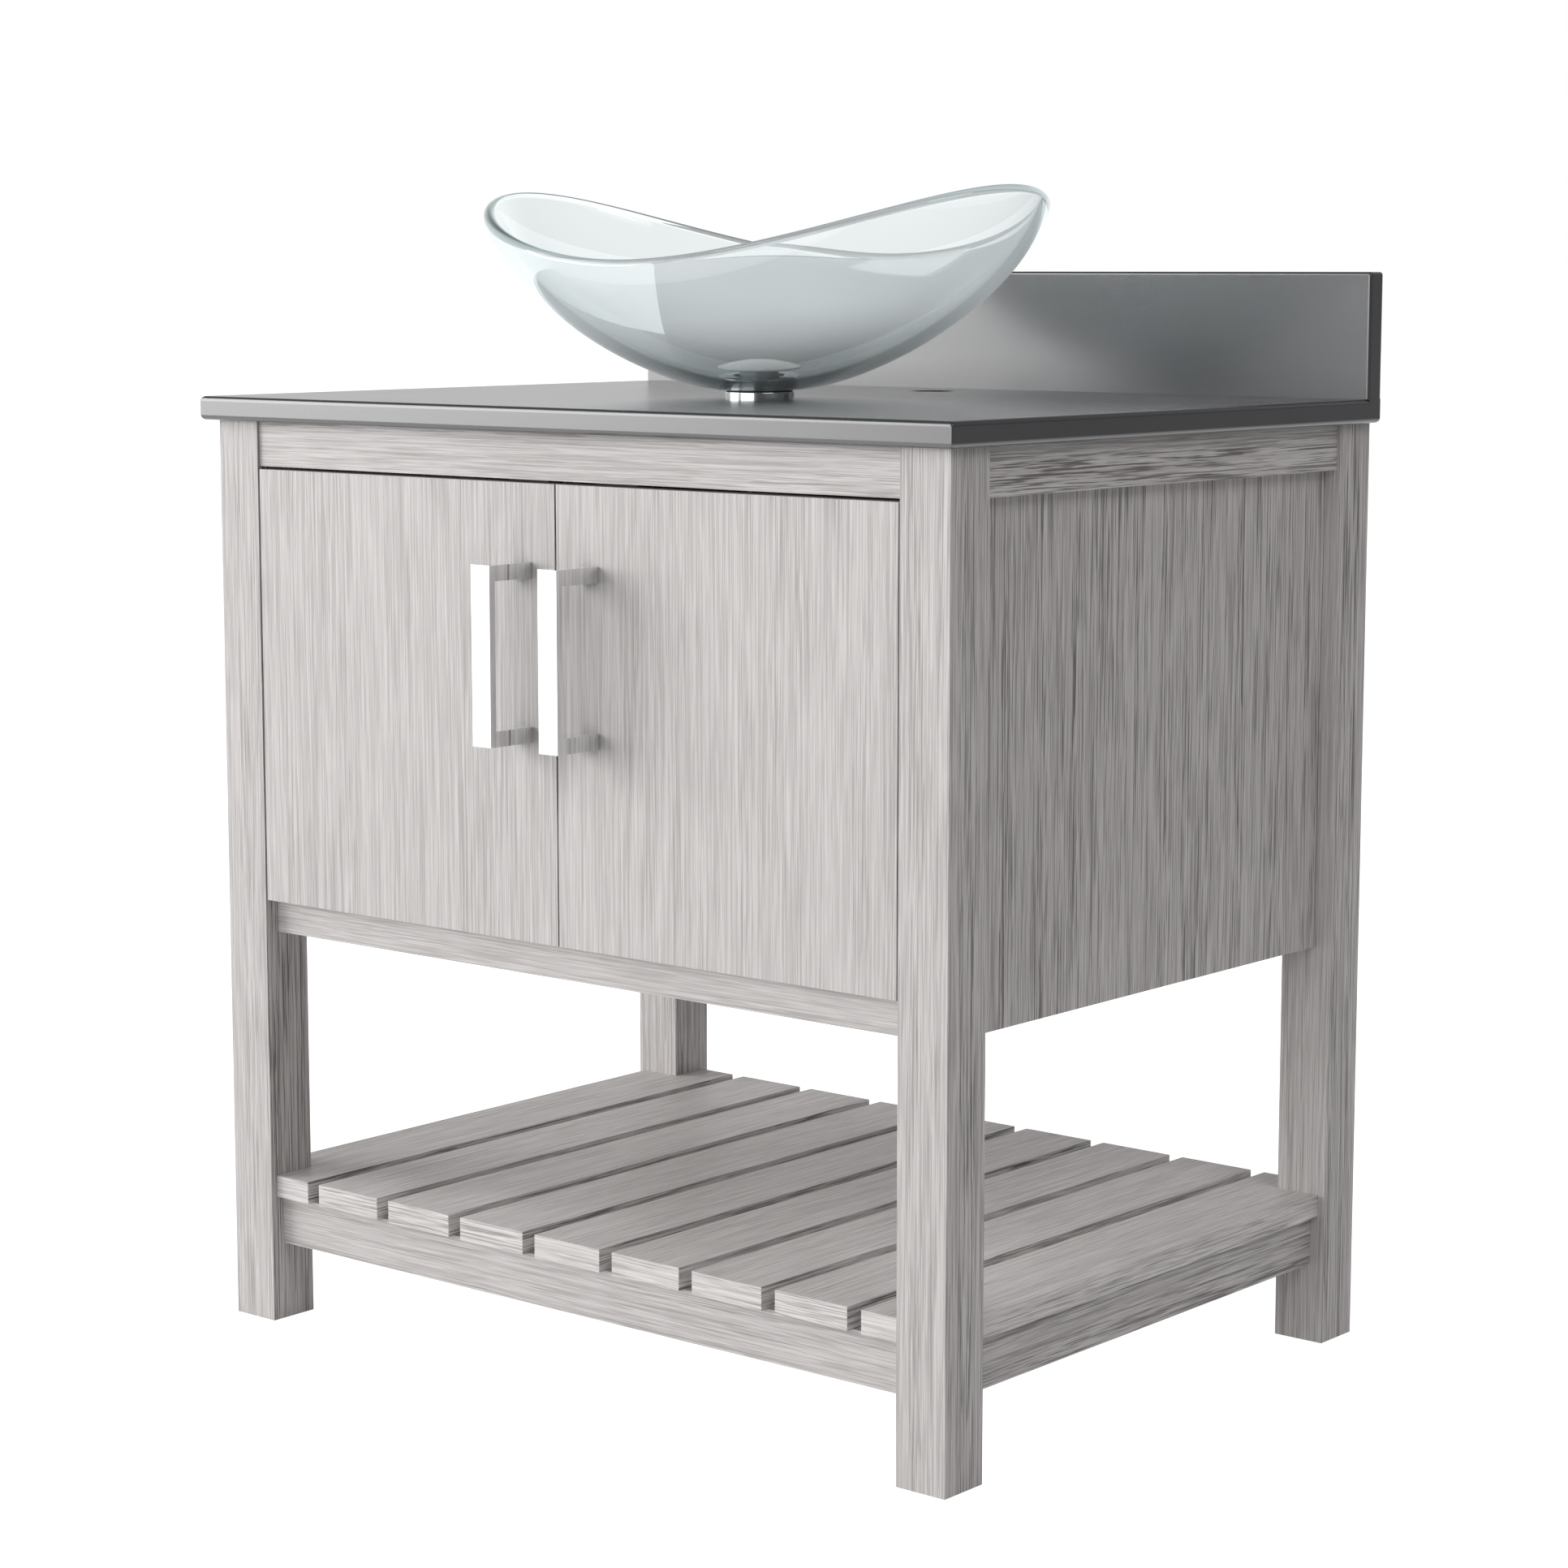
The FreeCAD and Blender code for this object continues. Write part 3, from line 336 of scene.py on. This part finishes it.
def clear_glass():
    """Tinted glass with a painted glow on its skins, a pale blue-green grey emission standing in for the
    light they scatter and reflect, and a light shadow.
    """
    material, tree, shader = new_material("basin_glass")
    shader.inputs["Base Color"].default_value = GLASS_TINT
    shader.inputs["Transmission Weight"].default_value = 1.0
    shader.inputs["IOR"].default_value = GLASS_IOR
    shader.inputs["Roughness"].default_value = 0.0
    # painted glow: the skins emit light though the glass is no lamp
    glass_glow = add(tree, "ShaderNodeEmission")
    glass_glow.inputs["Color"].default_value = GLASS_GLOW_COLOUR
    glass_glow.inputs["Strength"].default_value = GLASS_GLOW_STRENGTH
    glowing_glass = mix_shader(tree, painted_glow_share(tree), shader.outputs[0], glass_glow.outputs[0])
    clear = add(tree, "ShaderNodeBsdfTransparent")
    clear.inputs["Color"].default_value = GLASS_SHADOW
    shadow = add(tree, "ShaderNodeLightPath").outputs["Is Shadow Ray"]
    body = add(tree, "ShaderNodeVolumeAbsorption")
    body.inputs["Color"].default_value = GLASS_BODY
    body.inputs["Density"].default_value = GLASS_DENSITY
    output = tree.nodes["Material Output"]
    tree.links.new(mix_shader(tree, shadow, glowing_glass, clear.outputs[0]), output.inputs["Surface"])
    tree.links.new(body.outputs[0], output.inputs["Volume"])
    return material


def metal(name, colour, low, high, scale, share=1.0):
    """A metal whose gloss varies a little; a lower share makes it paler and less mirror-like."""
    material, tree, shader = new_material(name)
    haze = even_noise(tree, object_point(tree), scale, 3.0)
    tree.links.new(mix_colour(tree, haze, tuple(0.94 * part for part in colour), colour),
                   shader.inputs["Base Color"])
    shader.inputs["Metallic"].default_value = share
    tree.links.new(remap(tree, haze, 0.3, 0.7, low, high), shader.inputs["Roughness"])
    add_bump(tree, shader, haze, 0.03, 0.0001)
    return material


def dull(name, colour, low, high, scale):
    """Rubber or moulded plastic with a fine grain."""
    material, tree, shader = new_material(name)
    grain = even_noise(tree, object_point(tree), scale)
    tree.links.new(mix_colour(tree, grain, tuple(0.8 * part for part in colour), colour),
                   shader.inputs["Base Color"])
    tree.links.new(remap(tree, grain, 0.3, 0.7, low, high), shader.inputs["Roughness"])
    add_bump(tree, shader, grain, 0.15, 0.0002)
    return material


def dimming(tree, place, path, axis, low, high, least):
    """For mirror rays only: from 1 where place is at low along axis, down to least at high."""
    parts = add(tree, "ShaderNodeSeparateXYZ")
    tree.links.new(place, parts.inputs[0])
    loss = remap(tree, parts.outputs[axis], low, high, 0.0, 1.0 - least)
    mirrored = math_node(tree, "MULTIPLY", loss, path.outputs["Is Glossy Ray"])
    return math_node(tree, "SUBTRACT", 1.0, mirrored)


def floor_material():
    """Plain pale floor, lit mostly by its own even glow."""
    material, tree, shader = new_material("pale_floor")
    cloud = even_noise(tree, object_point(tree), 2.0)
    tree.links.new(mix_colour(tree, cloud, FLOOR_DARK, FLOOR_LIGHT), shader.inputs["Base Color"])
    shader.inputs["Roughness"].default_value = 0.9
    shader.inputs["Specular IOR Level"].default_value = 0.0
    shader.inputs["Emission Color"].default_value = WHITE
    path = add(tree, "ShaderNodeLightPath")
    glow = remap(tree, path.outputs["Is Diffuse Ray"], 0.0, 1.0, FLOOR_GLOW, FLOOR_BOUNCE)
    place = add(tree, "ShaderNodeTexCoord").outputs["Object"]
    sided = dimming(tree, place, path, 0, 0.0, FLOOR_SHADE_REACH, SHADE)
    tree.links.new(math_node(tree, "MULTIPLY", glow, sided), shader.inputs["Emission Strength"])
    return material


# ---- pieces --------------------------------------------------------------------
def bowl_mid(reach, turn):
    """A point of the glass's middle surface: reach 0 at the flat base, 1 at the rim."""
    endwise = math.cos(turn) ** 2
    rim_z = BOWL_SIDE_Z + (BOWL_END_Z - BOWL_SIDE_Z) * abs(math.cos(turn)) ** BOWL_RIM_POWER
    arc = BOWL_END_ARC * endwise + BOWL_SIDE_ARC * (1 - endwise)
    round_rise = (1 - math.sqrt(1 - (reach * math.sin(arc)) ** 2)) / (1 - math.cos(arc))
    rise = BOWL_SLOPE_SHARE * reach ** BOWL_SLOPE_POWER + (1 - BOWL_SLOPE_SHARE) * round_rise
    x = (BOWL_FLAT_R + (BOWL_HALF_LENGTH - BOWL_FLAT_R) * reach) * math.cos(turn)
    y = (BOWL_FLAT_R + (BOWL_HALF_WIDTH - BOWL_FLAT_R) * reach) * math.sin(turn)
    mid_z = BOWL_BASE_Z + GLASS / 2
    return DRAIN + Vector((x, y, mid_z + (rim_z - mid_z) * rise))


def bowl_point(reach, turn, lean):
    """A point of the glass's skin: lean 0 is outside, pi is inside, half-way is the rim's top."""
    step = SLOPE_STEP
    if reach == 0:
        up_wall = Vector((math.cos(turn), math.sin(turn), 0.0))
    else:
        up_wall = (bowl_mid(reach, turn) - bowl_mid(reach - step, turn)).normalized()
    around = bowl_mid(reach, turn + step) - bowl_mid(reach, turn - step)
    outward = up_wall.cross(around).normalized()
    if outward.z > 0:
        outward = -outward
    offset = outward * math.cos(lean) + up_wall * math.sin(lean)
    return bowl_mid(reach, turn) + offset * (GLASS / 2)


def hole_ring(turns, z):
    """The drain hole's edge at one height."""
    return [DRAIN + Vector((BOWL_HOLE_R * math.cos(turn), BOWL_HOLE_R * math.sin(turn), z))
            for turn in turns]


def bowl_rows():
    """Rings of points from the hole's lower edge, up outside, over the rim and down inside."""
    turns = [2 * math.pi * number / BOWL_AROUND for number in range(BOWL_AROUND)]
    reaches = [math.sin(math.pi / 2 * number / BOWL_UP) for number in range(BOWL_UP + 1)]
    rows = [hole_ring(turns, BOWL_BASE_Z)]
    rows += [[bowl_point(reach, turn, 0.0) for turn in turns] for reach in reaches]
    leans = [math.pi * number / RIM_STEPS for number in range(1, RIM_STEPS)]
    rows += [[bowl_point(1.0, turn, lean) for turn in turns] for lean in leans]
    rows += [[bowl_point(reach, turn, math.pi) for turn in turns] for reach in reversed(reaches)]
    rows.append(hole_ring(turns, BOWL_BASE_Z + GLASS))
    return rows


def add_mesh(name, mesh, material):
    """An object in the scene from a finished bmesh."""
    data = bpy.data.meshes.new(name)
    mesh.to_mesh(data)
    mesh.free()
    data.materials.append(material)
    piece = bpy.data.objects.new(name, data)
    bpy.context.scene.collection.objects.link(piece)
    return piece


def glass_bowl(material):
    """The basin as one smooth closed skin."""
    mesh = bmesh.new()
    rows = [[mesh.verts.new(point) for point in row] for row in bowl_rows()]
    for low, high in zip(rows, rows[1:] + rows[:1]):
        for number in range(BOWL_AROUND):
            following = (number + 1) % BOWL_AROUND
            mesh.faces.new((low[number], low[following], high[following], high[number]))
    bmesh.ops.recalc_face_normals(mesh, faces=mesh.faces)
    bowl = add_mesh("glass_bowl", mesh, material)
    bowl.data.shade_smooth()
    edges = bowl.modifiers.new("hole_edges", "BEVEL")
    edges.width = EDGE_BEVEL
    edges.segments = ARRIS_STEPS
    edges.angle_limit = EDGE_ANGLE
    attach(bowl, "vanity")
    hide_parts("vessel_bowl")


def soften(node, width):
    """Small rounded arrises on a CAD node, with a modifier only."""
    bevel = node.modifiers.new("arris", "BEVEL")
    bevel.width = width
    bevel.segments = ARRIS_STEPS
    bevel.limit_method = "ANGLE"
    bevel.angle_limit = ARRIS_ANGLE
    bevel.harden_normals = True


def dress(names, material):
    """One material on every slot of the named CAD nodes."""
    for name in names:
        for slot in NODES[name].material_slots:
            slot.link = "OBJECT"
            slot.material = material


def named(*starts):
    """CAD nodes whose name begins with one of these words."""
    return [name for name in sorted(NODES) if name.startswith(starts)]


def dress_all():
    """Every CAD node gets its material, and the timber its soft arrises."""
    upright = wood("grey_wood_upright", 2, 0.013, 0.50)
    door = wood("grey_wood_door", 2, 0.012, 0.35)
    across = wood("grey_wood_across", 0, 0.015, 0.50)
    deep = wood("grey_wood_deep", 1, 0.015, 0.60)
    # painted light: the slats' wood colours are made 1.22 times lighter in place of light their tops lack
    slats = wood("grey_wood_slats", 1, 0.017, 0.60, 1.22)
    chrome = metal("chrome", (0.88, 0.885, 0.89), 0.04, 0.09, 60.0)
    satin = metal("satin_chrome", (0.95, 0.955, 0.96), 0.25, 0.35, 60.0, 0.1)
    steel = metal("plated_steel", (0.62, 0.62, 0.63), 0.25, 0.40, 500.0)
    zinc = metal("zinc", (0.66, 0.66, 0.67), 0.30, 0.42, 350.0)
    brass = metal("brass", (0.72, 0.55, 0.27), 0.22, 0.36, 200.0)
    rubber = dull("rubber", (0.022, 0.022, 0.022), 0.55, 0.75, 900.0)
    plastic = dull("black_plastic", (0.035, 0.035, 0.037), 0.35, 0.5, 1200.0)
    doors = named("door_")
    uprights = named("leg_", "side_panel")
    acrosses = named("top_rail_front", "top_rail_rear", "bottom_rail", "stretcher_front",
                     "stretcher_rear", "cabinet_floor", "back_panel")
    deeps = named("top_rail_left", "top_rail_right", "stretcher_left", "stretcher_right")
    boards = named("shelf_slat")
    dress(uprights, upright)
    dress(doors, door)
    dress(acrosses, across)
    dress(deeps, deep)
    dress(boards, slats)
    dress(named("countertop", "backsplash"), stone())
    dress(named("handle_left", "handle_right", "mounting_ring", "drain_body", "tailpiece"), chrome)
    dress(named("popup_cap"), satin)
    dress(named("handle_screws", "frame_screws", "hinge_door_screws", "strike_plate",
                "hinge_frame_links", "hinge_door_links"), steel)
    dress(named("hinge_frame_cases", "hinge_door_cases"), zinc)
    dress(named("drain_locknut"), brass)
    dress(named("bowl_gasket", "popup_seal", "drain_washer"), rubber)
    dress(named("drain_cartridge", "magnetic_catches"), plastic)
    dress(named("rail_dowels", "corner_blocks"), plain_wood())
    for number, name in enumerate(sorted(NODES)):
        NODES[name].pass_index = number
    for name in doors + uprights + acrosses + deeps + boards:
        soften(NODES[name], TIMBER_ARRIS)
    for name in named("handle_left", "handle_right"):
        soften(NODES[name], HANDLE_ARRIS)


# ---- stage ---------------------------------------------------------------------
def add_floor():
    """A wide plain floor at the legs' feet."""
    mesh = bmesh.new()
    half = FLOOR_SIZE / 2
    places = ((-half, -half), (half, -half), (half, half), (-half, half))
    mesh.faces.new([mesh.verts.new((x, y, 0.0)) for x, y in places])
    add_mesh("studio_floor", mesh, floor_material())


def add_softbox(name, azimuth, distance, z, width, height, radiance):
    """A softbox that faces the object; azimuth turns from the front towards the left."""
    data = bpy.data.lights.new(name, "AREA")
    data.shape = "RECTANGLE"
    data.size = width
    data.size_y = height
    data.energy = radiance * math.pi * width * height
    box = bpy.data.objects.new(name, data)
    box.location = (-distance * math.sin(azimuth), -distance * math.cos(azimuth), z)
    aim = Vector((0.0, 0.0, AIM_Z)) - box.location
    box.rotation_euler = aim.to_track_quat("-Z", "Y").to_euler()
    box.visible_camera = False
    bpy.context.scene.collection.objects.link(box)


def add_world():
    """A white studio that lights less than it shows; mirrors see it grey on the right and above."""
    world = bpy.data.worlds.new("studio")
    world.use_nodes = True
    tree = world.node_tree
    background = tree.nodes["Background"]
    background.inputs["Color"].default_value = WHITE
    path = add(tree, "ShaderNodeLightPath")
    strength = remap(tree, path.outputs["Is Diffuse Ray"], 0.0, 1.0, BACKDROP, AMBIENT)
    place = add(tree, "ShaderNodeTexCoord").outputs["Generated"]
    for axis, low, high, least in ((0, 0.0, WORLD_SHADE_REACH, SHADE), (2, SKY_LOW, SKY_HIGH, SKY_SHADE)):
        dim = dimming(tree, place, path, axis, low, high, least)
        strength = math_node(tree, "MULTIPLY", strength, dim)
    tree.links.new(strength, background.inputs["Strength"])
    bpy.context.scene.world = world


def add_camera():
    """A long lens from the front right, a little above the top."""
    data = bpy.data.cameras.new("camera")
    data.lens = CAMERA_LENS
    data.sensor_width = CAMERA_SENSOR
    data.clip_end = 100.0
    camera = bpy.data.objects.new("camera", data)
    camera.location = CAMERA_PLACE
    camera.rotation_euler = (math.pi / 2 - CAMERA_DIP, 0.0, CAMERA_TURN)
    bpy.context.scene.collection.objects.link(camera)
    bpy.context.scene.camera = camera


def main():
    """Build the whole scene."""
    scene = bpy.context.scene
    scene.view_settings.view_transform = "Standard"
    scene.cycles.caustics_reflective = False
    scene.cycles.caustics_refractive = False
    dress_all()
    glass_bowl(clear_glass())
    add_floor()
    add_softbox("key_light", KEY_AZIMUTH, KEY_DISTANCE, KEY_Z, KEY_SIZE, KEY_SIZE, KEY_RADIANCE)
    add_softbox("fill_light", FILL_AZIMUTH, FILL_DISTANCE, FILL_Z, FILL_SIZE, FILL_SIZE,
                FILL_RADIANCE)
    add_softbox("front_light", FRONT_AZIMUTH, FRONT_DISTANCE, FRONT_Z, FRONT_WIDTH, FRONT_HEIGHT,
                FRONT_RADIANCE)
    add_world()
    add_camera()


main()
